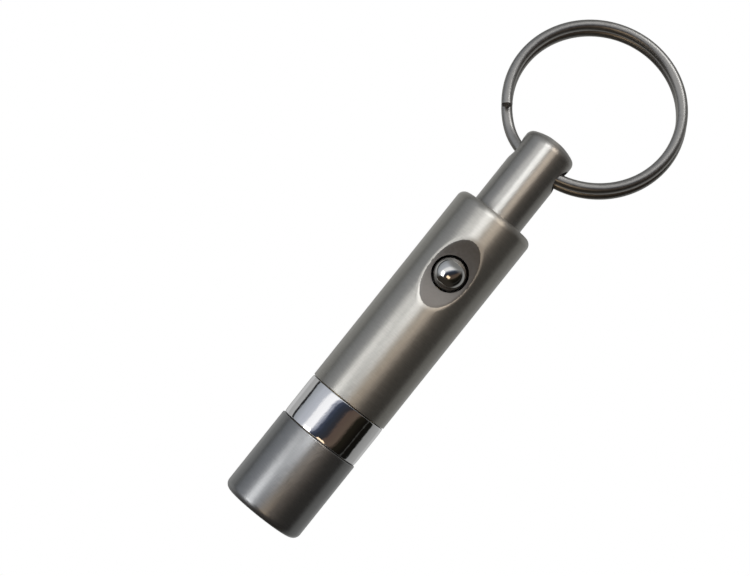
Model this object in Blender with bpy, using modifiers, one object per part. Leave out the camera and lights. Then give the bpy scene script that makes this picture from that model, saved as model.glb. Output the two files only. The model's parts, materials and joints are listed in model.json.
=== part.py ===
"""Retractable keychain cigar punch, as an assembly of separate pieces.

The origin is the centre of the plunger's press face at rest. +Z runs along the
body towards the key ring, and the release ball faces -Y. Driving sizes are in
millimetres. Stations along the body are heights above the nose end.
"""

import math

import bmesh
import bpy
from mathutils import Matrix, Vector

MM = 0.001

# Outside of the body
OVERALL = 75.7
BODY_R = 7.05
CAP_R = 7.22
CAP_TOP = 15.15
BAND_BOTTOM = 15.25
BAND_TOP = 22.65
BARREL_BOTTOM = 22.75
BARREL_TOP = 60.7
PLUNGER_R = 4.5
PLUNGER_BOTTOM = 58.5
NOSE_FILLET = 1.3
BARREL_FILLET = 1.3
PLUNGER_FILLET = 1.3
PRESS_FLAT_R = 1.4
PRESS_DOME_R = 9.0
EDGE_BREAK = 0.12

# Gaps between pieces that sit on each other, and between pieces that slide
SEAT_GAP = 0.05
SLIDE_GAP = 0.1

# Nose
MOUTH_R = 5.3
NOSE_LIP = 1.8
CAP_BORE_R = 6.0
GUIDE_R = 5.92
GUIDE_BORE_R = 4.75
GUIDE_BOTTOM = 2.0
GUIDE_TOP = 4.9

# Threaded coupler that joins cap, band and barrel
COUPLER_BOTTOM = 5.1
COUPLER_TOP = 30.9
COUPLER_R = 5.9
COUPLER_THREAD_R = 5.7
COUPLER_LOWER_BORE_R = 4.95
COUPLER_UPPER_BORE_R = 4.2
WEB_BOTTOM = 19.2
WEB_TOP = 21.2

# Bores of the barrel, from the bottom up
THREAD_BORE_R = 5.8
THREAD_BORE_TOP = 31.1
LATCH_BORE_R = 4.9
LATCH_BORE_TOP = 51.4
PLUNGER_BORE_R = 4.6

# Blade and its carrier
BLADE_R = 4.6
BLADE_BORE_R = 4.3
BLADE_EDGE = 1.0
BLADE_TOP = 15.3
BLADE_BEVEL = 0.9
NOTCH_WIDTH = 0.8
NOTCH_DEPTH = 1.6
NOTCH_TURN = -35
CARRIER_BOTTOM = 12.3
FLANGE_BOTTOM = 15.4
CARRIER_TOP = 18.6
CARRIER_R = 4.85
SPIGOT_R = 4.2
SCREW_HEAD_R = 2.4
SCREW_HEAD_BOTTOM = 10.6
SCREW_HEAD_TOP = 12.2
SCREW_R = 0.6
SCREW_TOP = 15.5
HEX_KEY_R = 0.95
HEX_DEPTH = 1.0

# Push rod and what rides on it
ROD_R = 1.5
ROD_NECK_R = 1.1
ROD_BOTTOM = 12.6
ROD_SHOULDER = 17.0
ROD_TOP = 63.5
ROD_FLAT = 1.15
FLAT_BOTTOM = 17.6
FLAT_TOP = 29.6
STROKE = 7.0
SOCKET_TOP = 63.8
CLIP_BOTTOM = 45.0
CLIP_TOP = 45.6
CLIP_R = 2.7
WASHER_THICKNESS = 0.5
UPPER_WASHER_BOTTOM = 44.4
LOWER_WASHER_BOTTOM = 21.3
SPRING_R = 3.1
SPRING_WIRE_R = 0.35
SPRING_TURNS = 9

# Sleeve and latch
SLEEVE_BOTTOM = 31.0
SLEEVE_TOP = 45.8
SLEEVE_R = 4.8
SLEEVE_BORE_R = 4.1
HOUSING_BOTTOM = 45.9
HOUSING_TOP = 51.3
BUTTON_HEIGHT = 48.6
BALL_R = 2.7
BALL_FRONT = 8.4
BALL_BACK = 4.9
SHANK_R = 2.0
SHANK_BACK = 4.25
BALL_HOLE_R = 3.0
POCKET_R = 2.8
POCKET_FLOOR = 3.3
SCOOP_R = 19.8
SCOOP_DEPTH = 1.03
PLATE_WIDTH = 4.4
PLATE_HEIGHT = 2.2
PLATE_FRONT = 4.15
PLATE_BACK = 2.4
PLATE_SLOT_R = 1.62
PLATE_SLOT_RUN = 0.95
SLOT_CLEARANCE = 0.1
SLOT_BACK = 3.5
PIN_R = 0.7
PIN_FRONT = 5.6
PIN_BACK = 3.0
BUTTON_SPRING_R = 0.9
BUTTON_SPRING_WIRE_R = 0.13
BUTTON_SPRING_TURNS = 4
BUTTON_SPRING_BACK = 4.83
SPRING_HOLE_R = 1.3

# Key ring in the plunger's cross hole
RING_HOLE_HEIGHT = 71.0
RING_HOLE_R = 2.1
RING_MOUTH_R = 2.25
RING_MOUTH_DEPTH = 0.15
RING_YAW = -6.7
RING_LEAN = -16.9
RING_SLACK = 4.1
RING_R = 14.2
RING_WIRE_R = 0.9
RING_PITCH = 1.86
RING_SHIFT = 0.25
RING_DROP = 0.46
RING_FRONT_END = -136.2
RING_BACK_END = -84.0
RING_JOG_FRONT = -88.0
RING_JOG_BACK = -126.0

ROUND_STEPS = 48
SMALL_STEPS = 24


def up(height):
    """Height above the nose end, in mm, as world Z in metres."""
    return (height - OVERALL) * MM


def clear_scene():
    for item in list(bpy.data.objects):
        bpy.data.objects.remove(item, do_unlink=True)


def new_collection(name):
    collection = bpy.data.collections.new(name)
    bpy.context.scene.collection.children.link(collection)
    return collection


def new_material(name, colour, metallic, roughness):
    material = bpy.data.materials.new(name)
    material.use_nodes = True
    shader = material.node_tree.nodes["Principled BSDF"]
    shader.inputs["Base Color"].default_value = (*colour, 1.0)
    shader.inputs["Metallic"].default_value = metallic
    shader.inputs["Roughness"].default_value = roughness
    material.diffuse_color = (*colour, 1.0)
    return material


def add_object(name, data, collection, material=None, parent=None):
    item = bpy.data.objects.new(name, data)
    collection.objects.link(item)
    if material:
        data.materials.append(material)
    if parent:
        item.parent = parent
    return item


def add_empty(name, location, collection):
    empty = bpy.data.objects.new(name, None)
    empty.empty_display_size = 4 * MM
    empty.location = location
    collection.objects.link(empty)
    return empty


def arc(centre_r, centre_z, radius, start, end, steps=5):
    """Points of a circular arc in the profile plane, angles in degrees."""
    points = []
    for i in range(steps + 1):
        angle = math.radians(start + (end - start) * i / steps)
        points.append((centre_r + radius * math.cos(angle), centre_z + radius * math.sin(angle)))
    return points


def turned(name, profile, collection, material=None, closed=True, steps=ROUND_STEPS, parent=None):
    """A piece turned about its local Z. The profile is (radius, height) in mm."""
    mesh = bpy.data.meshes.new(name)
    points = [(r * MM, 0.0, z * MM) for r, z in profile]
    edges = [(i, i + 1) for i in range(len(points) - 1)]
    if closed:
        edges.append((len(points) - 1, 0))
    mesh.from_pydata(points, edges, [])
    item = add_object(name, mesh, collection, material, parent)
    screw = item.modifiers.new("Screw", "SCREW")
    screw.steps = steps
    screw.render_steps = steps
    screw.use_merge_vertices = True
    screw.merge_threshold = 0.000001
    screw.use_smooth_shade = True
    return item


def stand_on_nose(item):
    """Put a piece drawn in heights above the nose at its world height."""
    item.location.z = up(0)
    return item


def tube_profile(outer, inner, bottom, top, chamfer=EDGE_BREAK):
    """Ring section with broken outer edges, outer side first, top to bottom."""
    return [
        (inner, top),
        (outer - chamfer, top),
        (outer, top - chamfer),
        (outer, bottom + chamfer),
        (outer - chamfer, bottom),
        (inner, bottom),
    ]


def cylinder(name, radius, depth, collection, vertices=ROUND_STEPS):
    mesh = bpy.data.meshes.new(name)
    shape = bmesh.new()
    bmesh.ops.create_cone(
        shape, cap_ends=True, segments=vertices, radius1=radius * MM, radius2=radius * MM, depth=depth * MM
    )
    shape.to_mesh(mesh)
    shape.free()
    return add_object(name, mesh, collection)


def box(name, size, collection, material=None, parent=None):
    mesh = bpy.data.meshes.new(name)
    shape = bmesh.new()
    bmesh.ops.create_cube(shape, size=1.0)
    bmesh.ops.scale(shape, vec=Vector(size) * MM, verts=shape.verts)
    shape.to_mesh(mesh)
    shape.free()
    return add_object(name, mesh, collection, material, parent)


def as_cutter(item):
    item.hide_render = True
    item.display_type = "WIRE"
    return item


def cut(item, cutter):
    boolean = item.modifiers.new(cutter.name, "BOOLEAN")
    boolean.operation = "DIFFERENCE"
    boolean.solver = "EXACT"
    boolean.object = as_cutter(cutter)


def along_y(item):
    """Turn a piece drawn along Z so that it points along -Y."""
    item.rotation_euler = (math.radians(90), 0, 0)
    return item


def coil_points(radius, wire, turns, start, end, per_turn=16):
    """Helix with one closed turn at each end, in metres along local Z."""
    closed_pitch = 2.15 * wire
    low = start + wire
    high = end - wire
    middle = high - low - 2 * closed_pitch
    points = []
    for i in range(turns * per_turn + 1):
        turn = i / per_turn
        if turn <= 1:
            height = low + closed_pitch * turn
        elif turn >= turns - 1:
            height = high - closed_pitch * (turns - turn)
        else:
            height = low + closed_pitch + middle * (turn - 1) / (turns - 2)
        angle = 2 * math.pi * turn
        points.append((radius * math.cos(angle) * MM, radius * math.sin(angle) * MM, height * MM))
    return points


def wire(name, points, radius, collection, material, parent=None):
    curve = bpy.data.curves.new(name, "CURVE")
    curve.dimensions = "3D"
    curve.twist_mode = "Z_UP"
    curve.bevel_depth = radius * MM
    curve.bevel_resolution = 2
    curve.use_fill_caps = True
    spline = curve.splines.new("POLY")
    spline.points.add(len(points) - 1)
    for point, place in zip(spline.points, points):
        point.co = (*place, 1.0)
    return add_object(name, curve, collection, material, parent)


def make_barrel(parts, cutters, material):
    profile = [(PLUNGER_BORE_R + EDGE_BREAK, BARREL_TOP)]
    profile += arc(BODY_R - BARREL_FILLET, BARREL_TOP - BARREL_FILLET, BARREL_FILLET, 90, 0)
    profile += [
        (BODY_R, BARREL_BOTTOM + EDGE_BREAK),
        (BODY_R - EDGE_BREAK, BARREL_BOTTOM),
        (THREAD_BORE_R, BARREL_BOTTOM),
        (THREAD_BORE_R, THREAD_BORE_TOP),
        (LATCH_BORE_R, THREAD_BORE_TOP),
        (LATCH_BORE_R, LATCH_BORE_TOP),
        (PLUNGER_BORE_R, LATCH_BORE_TOP),
        (PLUNGER_BORE_R, BARREL_TOP - EDGE_BREAK),
    ]
    barrel = stand_on_nose(turned("barrel", profile, parts, material))

    scoop_width = 24.0
    scoop = cylinder("scoop_cutter", SCOOP_R, scoop_width, cutters, 192)
    scoop.rotation_euler = (0, math.radians(90), 0)
    scoop.location = (0, -(BODY_R - SCOOP_DEPTH + SCOOP_R) * MM, up(BUTTON_HEIGHT))
    cut(barrel, scoop)

    hole_back = 3.65
    hole_depth = 5.0
    hole = along_y(cylinder("ball_hole_cutter", BALL_HOLE_R, hole_depth, cutters))
    hole.location = (0, -(hole_back + hole_depth / 2) * MM, up(BUTTON_HEIGHT))
    cut(barrel, hole)
    return barrel


def make_band(parts, material):
    profile = tube_profile(BODY_R, CAP_BORE_R, BAND_BOTTOM, BAND_TOP)
    return stand_on_nose(turned("accent_band", profile, parts, material))


def make_cap(parts, material):
    profile = [
        (CAP_BORE_R, CAP_TOP),
        (CAP_R - EDGE_BREAK, CAP_TOP),
        (CAP_R, CAP_TOP - EDGE_BREAK),
    ]
    profile += arc(CAP_R - NOSE_FILLET, NOSE_FILLET, NOSE_FILLET, 0, -90)
    profile += [
        (MOUTH_R + EDGE_BREAK, 0.0),
        (MOUTH_R, EDGE_BREAK),
        (MOUTH_R, NOSE_LIP),
        (CAP_BORE_R, NOSE_LIP),
    ]
    return stand_on_nose(turned("nose_cap", profile, parts, material))


def make_guide(parts, material):
    profile = tube_profile(GUIDE_R, GUIDE_BORE_R, GUIDE_BOTTOM, GUIDE_TOP)
    return stand_on_nose(turned("blade_guide", profile, parts, material))


def flatted_rod_cutter(cutters):
    """D-shaped cutter that fits the rod's flat, so that the rod can't turn."""
    mesh = bpy.data.meshes.new("web_hole_cutter")
    shape = bmesh.new()
    radius = (ROD_R + SLIDE_GAP) * MM
    depth = 2 * (WEB_TOP - WEB_BOTTOM) * MM
    bmesh.ops.create_cone(
        shape, cap_ends=True, segments=SMALL_STEPS, radius1=radius, radius2=radius, depth=depth
    )
    geometry = shape.verts[:] + shape.edges[:] + shape.faces[:]
    plane = Vector(((ROD_FLAT + SLIDE_GAP) * MM, 0, 0))
    bisected = bmesh.ops.bisect_plane(
        shape, geom=geometry, plane_co=plane, plane_no=(1, 0, 0), clear_outer=True
    )
    rim = [edge for edge in bisected["geom_cut"] if isinstance(edge, bmesh.types.BMEdge)]
    bmesh.ops.contextual_create(shape, geom=rim)
    bmesh.ops.recalc_face_normals(shape, faces=shape.faces)
    shape.to_mesh(mesh)
    shape.free()
    cutter = add_object("web_hole_cutter", mesh, cutters)
    cutter.location.z = up((WEB_BOTTOM + WEB_TOP) / 2)
    return cutter


def make_coupler(parts, cutters, material):
    profile = [
        (0.0, WEB_TOP),
        (COUPLER_UPPER_BORE_R, WEB_TOP),
        (COUPLER_UPPER_BORE_R, COUPLER_TOP),
        (COUPLER_THREAD_R - EDGE_BREAK, COUPLER_TOP),
        (COUPLER_THREAD_R, COUPLER_TOP - EDGE_BREAK),
        (COUPLER_THREAD_R, BAND_TOP),
        (COUPLER_R, BAND_TOP),
        (COUPLER_R, COUPLER_BOTTOM + EDGE_BREAK),
        (COUPLER_R - EDGE_BREAK, COUPLER_BOTTOM),
        (COUPLER_LOWER_BORE_R, COUPLER_BOTTOM),
        (COUPLER_LOWER_BORE_R, WEB_BOTTOM),
        (0.0, WEB_BOTTOM),
    ]
    coupler = stand_on_nose(turned("coupler", profile, parts, material, closed=False))
    cut(coupler, flatted_rod_cutter(cutters))
    return coupler


def make_sleeve(parts, material):
    profile = tube_profile(SLEEVE_R, SLEEVE_BORE_R, SLEEVE_BOTTOM, SLEEVE_TOP)
    return stand_on_nose(turned("spacer_sleeve", profile, parts, material))


def make_latch_housing(parts, cutters, material):
    rod_bore_r = ROD_R + 0.15
    profile = tube_profile(SLEEVE_R, rod_bore_r, HOUSING_BOTTOM, HOUSING_TOP)
    housing = stand_on_nose(turned("latch_housing", profile, parts, material))

    slot_front = SLEEVE_R + 1.0
    slot_size = (
        PLATE_WIDTH + 2 * SLOT_CLEARANCE,
        slot_front + SLOT_BACK,
        PLATE_HEIGHT + 2 * SLOT_CLEARANCE,
    )
    slot = box("plate_slot_cutter", slot_size, cutters)
    slot.location = (0, (SLOT_BACK - slot_front) / 2 * MM, up(BUTTON_HEIGHT))
    cut(housing, slot)

    pocket_depth = 3.0
    pocket = along_y(cylinder("ball_pocket_cutter", POCKET_R, pocket_depth, cutters))
    pocket.location = (0, -(POCKET_FLOOR + pocket_depth / 2) * MM, up(BUTTON_HEIGHT))
    cut(housing, pocket)

    spring_hole_front = 3.4
    spring_hole_depth = 3.0
    spring_hole = cylinder("spring_hole_cutter", SPRING_HOLE_R, spring_hole_depth, cutters, SMALL_STEPS)
    along_y(spring_hole)
    spring_hole.location = (0, (spring_hole_front + spring_hole_depth / 2) * MM, up(BUTTON_HEIGHT))
    cut(housing, spring_hole)
    return housing


def make_washer(name, bottom, outer, inner, parts, material):
    profile = tube_profile(outer, inner, bottom, bottom + WASHER_THICKNESS, 0.06)
    return stand_on_nose(turned(name, profile, parts, material))


def make_return_spring(parts, material):
    start = LOWER_WASHER_BOTTOM + WASHER_THICKNESS + SEAT_GAP
    end = UPPER_WASHER_BOTTOM - SEAT_GAP
    points = coil_points(SPRING_R, SPRING_WIRE_R, SPRING_TURNS, start, end)
    return stand_on_nose(wire("return_spring", points, SPRING_WIRE_R, parts, material))


def press_dome():
    """Flat disc, shallow spherical dome and round corner at the plunger's top."""
    corner_r = PLUNGER_R - PLUNGER_FILLET
    dome_top = OVERALL + PRESS_FLAT_R**2 / (2 * PRESS_DOME_R)
    slope = math.asin(corner_r / (PRESS_DOME_R - PLUNGER_FILLET))
    meeting_r = corner_r + PLUNGER_FILLET * math.sin(slope)
    meeting_z = dome_top - PRESS_DOME_R * (1 - math.cos(slope))
    steps = 5
    dome = []
    for i in range(steps):
        r = PRESS_FLAT_R + (meeting_r - PRESS_FLAT_R) * i / steps
        dome.append((r, min(dome_top - PRESS_DOME_R + math.sqrt(PRESS_DOME_R**2 - r**2), OVERALL)))
    corner_z = meeting_z - PLUNGER_FILLET * math.cos(slope)
    return dome + arc(corner_r, corner_z, PLUNGER_FILLET, 90 - math.degrees(slope), 0)


def make_plunger(parts, cutters, material, slider, hinge):
    profile = [(0.0, OVERALL)]
    profile += press_dome()
    profile += [
        (PLUNGER_R, PLUNGER_BOTTOM + EDGE_BREAK),
        (PLUNGER_R - EDGE_BREAK, PLUNGER_BOTTOM),
        (ROD_R + SEAT_GAP, PLUNGER_BOTTOM),
        (ROD_R + SEAT_GAP, SOCKET_TOP),
        (0.0, SOCKET_TOP),
    ]
    profile = [(r, z - OVERALL) for r, z in profile]
    plunger = turned("plunger", profile, parts, material, closed=False, parent=slider)

    reach = PLUNGER_R + 1.0
    straight = PLUNGER_R - RING_MOUTH_DEPTH
    bore = [
        (0.0, reach),
        (RING_MOUTH_R, reach),
        (RING_MOUTH_R, PLUNGER_R),
        (RING_HOLE_R, straight),
        (RING_HOLE_R, -straight),
        (RING_MOUTH_R, -PLUNGER_R),
        (RING_MOUTH_R, -reach),
        (0.0, -reach),
    ]
    hole = turned("ring_hole_cutter", bore, cutters, closed=False, parent=hinge)
    hole.rotation_euler = (0, math.radians(90), 0)
    cut(plunger, hole)
    return plunger


def make_push_rod(parts, cutters, material, slider):
    """Rod with the latch's groove, the clip's groove and the screw's blind hole."""
    groove_r = 1.0
    latch_play = 0.2
    latch_bottom = BUTTON_HEIGHT + STROKE - PLATE_HEIGHT / 2 - latch_play
    latch_top = BUTTON_HEIGHT + STROKE + PLATE_HEIGHT / 2 + latch_play
    socket_r = SCREW_R + SLIDE_GAP
    socket_top = SCREW_TOP + 0.4
    profile = [
        (0.0, ROD_TOP),
        (ROD_R - EDGE_BREAK, ROD_TOP),
        (ROD_R, ROD_TOP - EDGE_BREAK),
        (ROD_R, latch_top),
        (groove_r, latch_top),
        (groove_r, latch_bottom),
        (ROD_R, latch_bottom),
        (ROD_R, CLIP_TOP + SEAT_GAP),
        (groove_r, CLIP_TOP + SEAT_GAP),
        (groove_r, CLIP_BOTTOM - SEAT_GAP),
        (ROD_R, CLIP_BOTTOM - SEAT_GAP),
        (ROD_R, ROD_SHOULDER),
        (ROD_NECK_R, ROD_SHOULDER),
        (ROD_NECK_R, ROD_BOTTOM),
        (socket_r, ROD_BOTTOM),
        (socket_r, socket_top),
        (0.0, socket_top),
    ]
    profile = [(r, z - OVERALL) for r, z in profile]
    rod = turned("push_rod", profile, parts, material, closed=False, steps=SMALL_STEPS, parent=slider)

    flat_depth = 2.0
    flat = box("rod_flat_cutter", (flat_depth, 6.0, FLAT_TOP - FLAT_BOTTOM), cutters)
    flat.location = ((ROD_FLAT + flat_depth / 2) * MM, 0, up((FLAT_BOTTOM + FLAT_TOP) / 2))
    cut(rod, flat)
    return rod


def make_stop_clip(parts, cutters, material, slider):
    bore_r = 1.08
    mouth_width = 1.7
    mouth_depth = 4.0
    profile = tube_profile(CLIP_R, bore_r, CLIP_BOTTOM - OVERALL, CLIP_TOP - OVERALL, 0.08)
    clip = turned("stop_clip", profile, parts, material, parent=slider)
    mouth = box("clip_mouth_cutter", (mouth_width, mouth_depth, 2.0), cutters)
    mouth.location = (0, mouth_depth / 2 * MM, up((CLIP_BOTTOM + CLIP_TOP) / 2))
    cut(clip, mouth)
    return clip


def make_carrier(parts, material, slider):
    """Stepped plug: the blade sits on its spigot, against its flange."""
    neck_bore_r = ROD_NECK_R + SLIDE_GAP
    rod_bore_r = ROD_R + SLIDE_GAP
    seat = ROD_SHOULDER - SLIDE_GAP
    chamfer = 0.3
    profile = [
        (rod_bore_r, CARRIER_TOP),
        (CARRIER_R - chamfer, CARRIER_TOP),
        (CARRIER_R, CARRIER_TOP - chamfer),
        (CARRIER_R, FLANGE_BOTTOM),
        (SPIGOT_R, FLANGE_BOTTOM),
        (SPIGOT_R, CARRIER_BOTTOM + chamfer),
        (SPIGOT_R - chamfer, CARRIER_BOTTOM),
        (neck_bore_r, CARRIER_BOTTOM),
        (neck_bore_r, seat),
        (rod_bore_r, seat),
    ]
    profile = [(r, z - OVERALL) for r, z in profile]
    return turned("blade_carrier", profile, parts, material, parent=slider)


def make_blade(parts, cutters, material, slider):
    """Thin tube, ground to an edge from outside, with two notches in the edge."""
    edge_r = BLADE_BORE_R + 0.04
    profile = [
        (BLADE_BORE_R, BLADE_TOP),
        (BLADE_R, BLADE_TOP),
        (BLADE_R, BLADE_EDGE + BLADE_BEVEL),
        (edge_r, BLADE_EDGE),
        (BLADE_BORE_R, BLADE_EDGE),
    ]
    profile = [(r, z - OVERALL) for r, z in profile]
    blade = turned("punch_blade", profile, parts, material, parent=slider)
    notch = box("blade_notch_cutter", (NOTCH_WIDTH, 3 * BLADE_R, 2 * NOTCH_DEPTH), cutters)
    notch.location.z = up(BLADE_EDGE)
    notch.rotation_euler.z = math.radians(NOTCH_TURN)
    cut(blade, notch)
    return blade


def make_carrier_screw(parts, cutters, material, slider):
    chamfer = 0.25
    profile = [
        (0.0, SCREW_TOP),
        (SCREW_R, SCREW_TOP),
        (SCREW_R, SCREW_HEAD_TOP),
        (SCREW_HEAD_R, SCREW_HEAD_TOP),
        (SCREW_HEAD_R, SCREW_HEAD_BOTTOM + chamfer),
        (SCREW_HEAD_R - chamfer, SCREW_HEAD_BOTTOM),
        (0.0, SCREW_HEAD_BOTTOM),
    ]
    profile = [(r, z - OVERALL) for r, z in profile]
    screw = turned("carrier_screw", profile, parts, material, closed=False, parent=slider)
    key = cylinder("hex_key_cutter", HEX_KEY_R, 2 * HEX_DEPTH, cutters, 6)
    key.location.z = up(SCREW_HEAD_BOTTOM)
    cut(screw, key)
    return screw


def make_release_ball(parts, material, button):
    """Turned about the button axis, with local +Z pointing out of the body."""
    centre = BALL_FRONT - BALL_R
    rim_angle = math.degrees(math.asin((BALL_BACK - centre) / BALL_R))
    bore_r = PIN_R + SEAT_GAP
    bore_end = PIN_FRONT + SEAT_GAP
    profile = arc(0.0, centre, BALL_R, 90, rim_angle, 14)
    profile += [
        (SHANK_R, BALL_BACK),
        (SHANK_R, SHANK_BACK),
        (bore_r, SHANK_BACK),
        (bore_r, bore_end),
        (0.0, bore_end),
    ]
    ball = turned("release_ball", profile, parts, material, closed=False, parent=button)
    return along_y(ball)


def make_latch_pin(parts, material, button):
    pin = add_object("latch_pin", bpy.data.meshes.new("latch_pin"), parts, material, button)
    shape = bmesh.new()
    bmesh.ops.create_cone(
        shape,
        cap_ends=True,
        segments=SMALL_STEPS,
        radius1=PIN_R * MM,
        radius2=PIN_R * MM,
        depth=(PIN_FRONT - PIN_BACK) * MM,
    )
    shape.to_mesh(pin.data)
    shape.free()
    pin.location.y = -(PIN_FRONT + PIN_BACK) / 2 * MM
    return along_y(pin)


def make_latch_plate(parts, cutters, material, button):
    plate = box("latch_plate", (PLATE_WIDTH, PLATE_FRONT + PLATE_BACK, PLATE_HEIGHT), parts, material, button)
    plate.location.y = (PLATE_BACK - PLATE_FRONT) / 2 * MM

    through = 4.0
    for name, offset in (("rod_window_cutter", 0.0), ("rod_window_run_cutter", PLATE_SLOT_RUN)):
        window = cylinder(name, PLATE_SLOT_R, through, cutters, SMALL_STEPS)
        window.location = (0, -offset * MM, up(BUTTON_HEIGHT))
        cut(plate, window)
    bridge = box("rod_window_bridge_cutter", (2 * PLATE_SLOT_R, PLATE_SLOT_RUN, through), cutters)
    bridge.location = (0, -PLATE_SLOT_RUN / 2 * MM, up(BUTTON_HEIGHT))
    cut(plate, bridge)

    pin_hole_floor = PIN_BACK - SEAT_GAP
    pin_hole_depth = 2 * (PLATE_FRONT - pin_hole_floor)
    pin_hole = along_y(cylinder("pin_hole_cutter", PIN_R + SEAT_GAP, pin_hole_depth, cutters, SMALL_STEPS))
    pin_hole.location = (0, -PLATE_FRONT * MM, up(BUTTON_HEIGHT))
    cut(plate, pin_hole)
    return plate


def make_button_spring(parts, material):
    start = -BUTTON_SPRING_BACK
    end = -(PLATE_BACK + SEAT_GAP)
    points = coil_points(BUTTON_SPRING_R, BUTTON_SPRING_WIRE_R, BUTTON_SPRING_TURNS, start, end, 12)
    spring = wire("button_spring", points, BUTTON_SPRING_WIRE_R, parts, material)
    spring.location.z = up(BUTTON_HEIGHT)
    return along_y(spring)


def ring_points():
    """Two turns side by side, joined by a slanting stretch.

    Local X is the hole's axis, local Z points from the hole to the ring's
    centre, and the front turn lies at negative Y. The slant starts inside
    the cross hole, next to the back turn's end, and reaches the back turn
    just before the front turn's end.
    """
    steps = 120
    total = 720 + RING_FRONT_END - RING_BACK_END
    slant_start = 360 + RING_FRONT_END - RING_JOG_FRONT
    slant = RING_JOG_FRONT - RING_JOG_BACK
    centre_z = RING_R - RING_DROP
    points = []
    for i in range(steps + 1):
        run = total * i / steps
        blend = min(max((run - slant_start) / slant, 0.0), 1.0)
        side = blend * blend * (3 - 2 * blend) - 0.5
        angle = math.radians(RING_FRONT_END - run)
        points.append(
            (
                (RING_R * math.cos(angle) + side * RING_SHIFT) * MM,
                side * RING_PITCH * MM,
                (centre_z + RING_R * math.sin(angle)) * MM,
            )
        )
    return points


def make_split_ring(parts, material, hinge):
    """The wire is drawn in the XY plane so that its section stays upright."""
    flat_points = [(x, -z, y) for x, y, z in ring_points()]
    ring = wire("split_ring", flat_points, RING_WIRE_R, parts, material, hinge)
    to_hole_frame = Matrix.Rotation(math.radians(90), 4, "X")
    lean = Matrix.Rotation(math.radians(RING_LEAN), 4, "X")
    slack = Matrix.Rotation(math.radians(RING_SLACK), 4, "Y")
    ring.matrix_local = lean @ slack @ to_hole_frame.inverted()
    return ring


def build():
    clear_scene()
    parts = new_collection("cigar_punch")
    cutters = new_collection("cutters")

    satin_steel = new_material("satin_steel", (0.36, 0.355, 0.345), 1.0, 0.34)
    dark_steel = new_material("dark_steel", (0.25, 0.255, 0.265), 1.0, 0.3)
    chrome = new_material("chrome", (0.78, 0.78, 0.8), 1.0, 0.06)
    blade_steel = new_material("blade_steel", (0.62, 0.61, 0.59), 1.0, 0.14)
    spring_steel = new_material("spring_steel", (0.42, 0.42, 0.43), 1.0, 0.25)
    ring_nickel = new_material("ring_nickel", (0.3, 0.29, 0.28), 1.0, 0.24)
    brass = new_material("brass", (0.66, 0.5, 0.24), 1.0, 0.3)
    acetal = new_material("acetal", (0.05, 0.05, 0.055), 0.0, 0.45)

    slider = add_empty("plunger_axis", (0, 0, 0), parts)
    button = add_empty("button_axis", (0, 0, up(BUTTON_HEIGHT)), parts)
    hinge = add_empty("ring_hinge", (0, 0, up(RING_HOLE_HEIGHT)), parts)
    hinge.rotation_euler.z = math.radians(RING_YAW)
    hinge.parent = slider

    make_barrel(parts, cutters, satin_steel)
    make_band(parts, chrome)
    make_cap(parts, dark_steel)
    make_guide(parts, acetal)
    make_coupler(parts, cutters, brass)
    make_sleeve(parts, brass)
    make_latch_housing(parts, cutters, brass)
    make_washer("lower_washer", LOWER_WASHER_BOTTOM, 4.0, 1.8, parts, spring_steel)
    make_return_spring(parts, spring_steel)
    make_button_spring(parts, spring_steel)

    make_plunger(parts, cutters, satin_steel, slider, hinge)
    make_push_rod(parts, cutters, spring_steel, slider)
    make_stop_clip(parts, cutters, spring_steel, slider)
    upper_washer = make_washer("upper_washer", UPPER_WASHER_BOTTOM, 3.9, 1.65, parts, spring_steel)
    upper_washer.parent = slider
    make_carrier(parts, brass, slider)
    make_blade(parts, cutters, blade_steel, slider)
    make_carrier_screw(parts, cutters, spring_steel, slider)

    make_release_ball(parts, chrome, button)
    make_latch_plate(parts, cutters, spring_steel, button)
    make_latch_pin(parts, spring_steel, button)

    make_split_ring(parts, ring_nickel, hinge)


build()
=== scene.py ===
"""Looks of the retractable keychain cigar punch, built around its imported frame.

World frame: +Z runs along the body towards the key ring, and the release ball faces -Y.
The camera looks at the ball's side and is rolled, so that the body lies on the picture's
diagonal.
"""

import json
import math

import bmesh
import bpy
from mathutils import Matrix, Vector


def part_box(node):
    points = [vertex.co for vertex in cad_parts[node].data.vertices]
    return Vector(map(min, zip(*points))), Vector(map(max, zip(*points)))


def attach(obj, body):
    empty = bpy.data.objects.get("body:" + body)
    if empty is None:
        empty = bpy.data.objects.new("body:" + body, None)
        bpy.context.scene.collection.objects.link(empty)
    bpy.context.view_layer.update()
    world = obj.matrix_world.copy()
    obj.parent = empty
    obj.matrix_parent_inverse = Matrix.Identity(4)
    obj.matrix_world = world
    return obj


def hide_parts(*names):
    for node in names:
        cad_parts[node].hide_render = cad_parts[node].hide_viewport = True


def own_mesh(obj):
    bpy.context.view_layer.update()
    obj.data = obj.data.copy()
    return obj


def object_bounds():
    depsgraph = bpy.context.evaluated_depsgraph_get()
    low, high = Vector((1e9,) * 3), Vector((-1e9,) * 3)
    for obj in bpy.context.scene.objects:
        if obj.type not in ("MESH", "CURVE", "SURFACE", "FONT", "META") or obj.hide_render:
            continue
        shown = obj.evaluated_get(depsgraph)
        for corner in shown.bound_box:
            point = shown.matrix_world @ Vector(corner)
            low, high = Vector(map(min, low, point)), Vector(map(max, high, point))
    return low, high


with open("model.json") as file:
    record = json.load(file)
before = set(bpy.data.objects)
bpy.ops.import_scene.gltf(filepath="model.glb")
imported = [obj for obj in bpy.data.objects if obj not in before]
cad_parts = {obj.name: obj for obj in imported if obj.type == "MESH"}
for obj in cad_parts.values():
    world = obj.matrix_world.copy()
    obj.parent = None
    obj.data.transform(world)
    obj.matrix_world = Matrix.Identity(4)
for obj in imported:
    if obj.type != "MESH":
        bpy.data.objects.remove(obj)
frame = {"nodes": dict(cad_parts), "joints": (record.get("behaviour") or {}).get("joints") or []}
CAD_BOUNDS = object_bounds()
MM = 0.001


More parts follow.
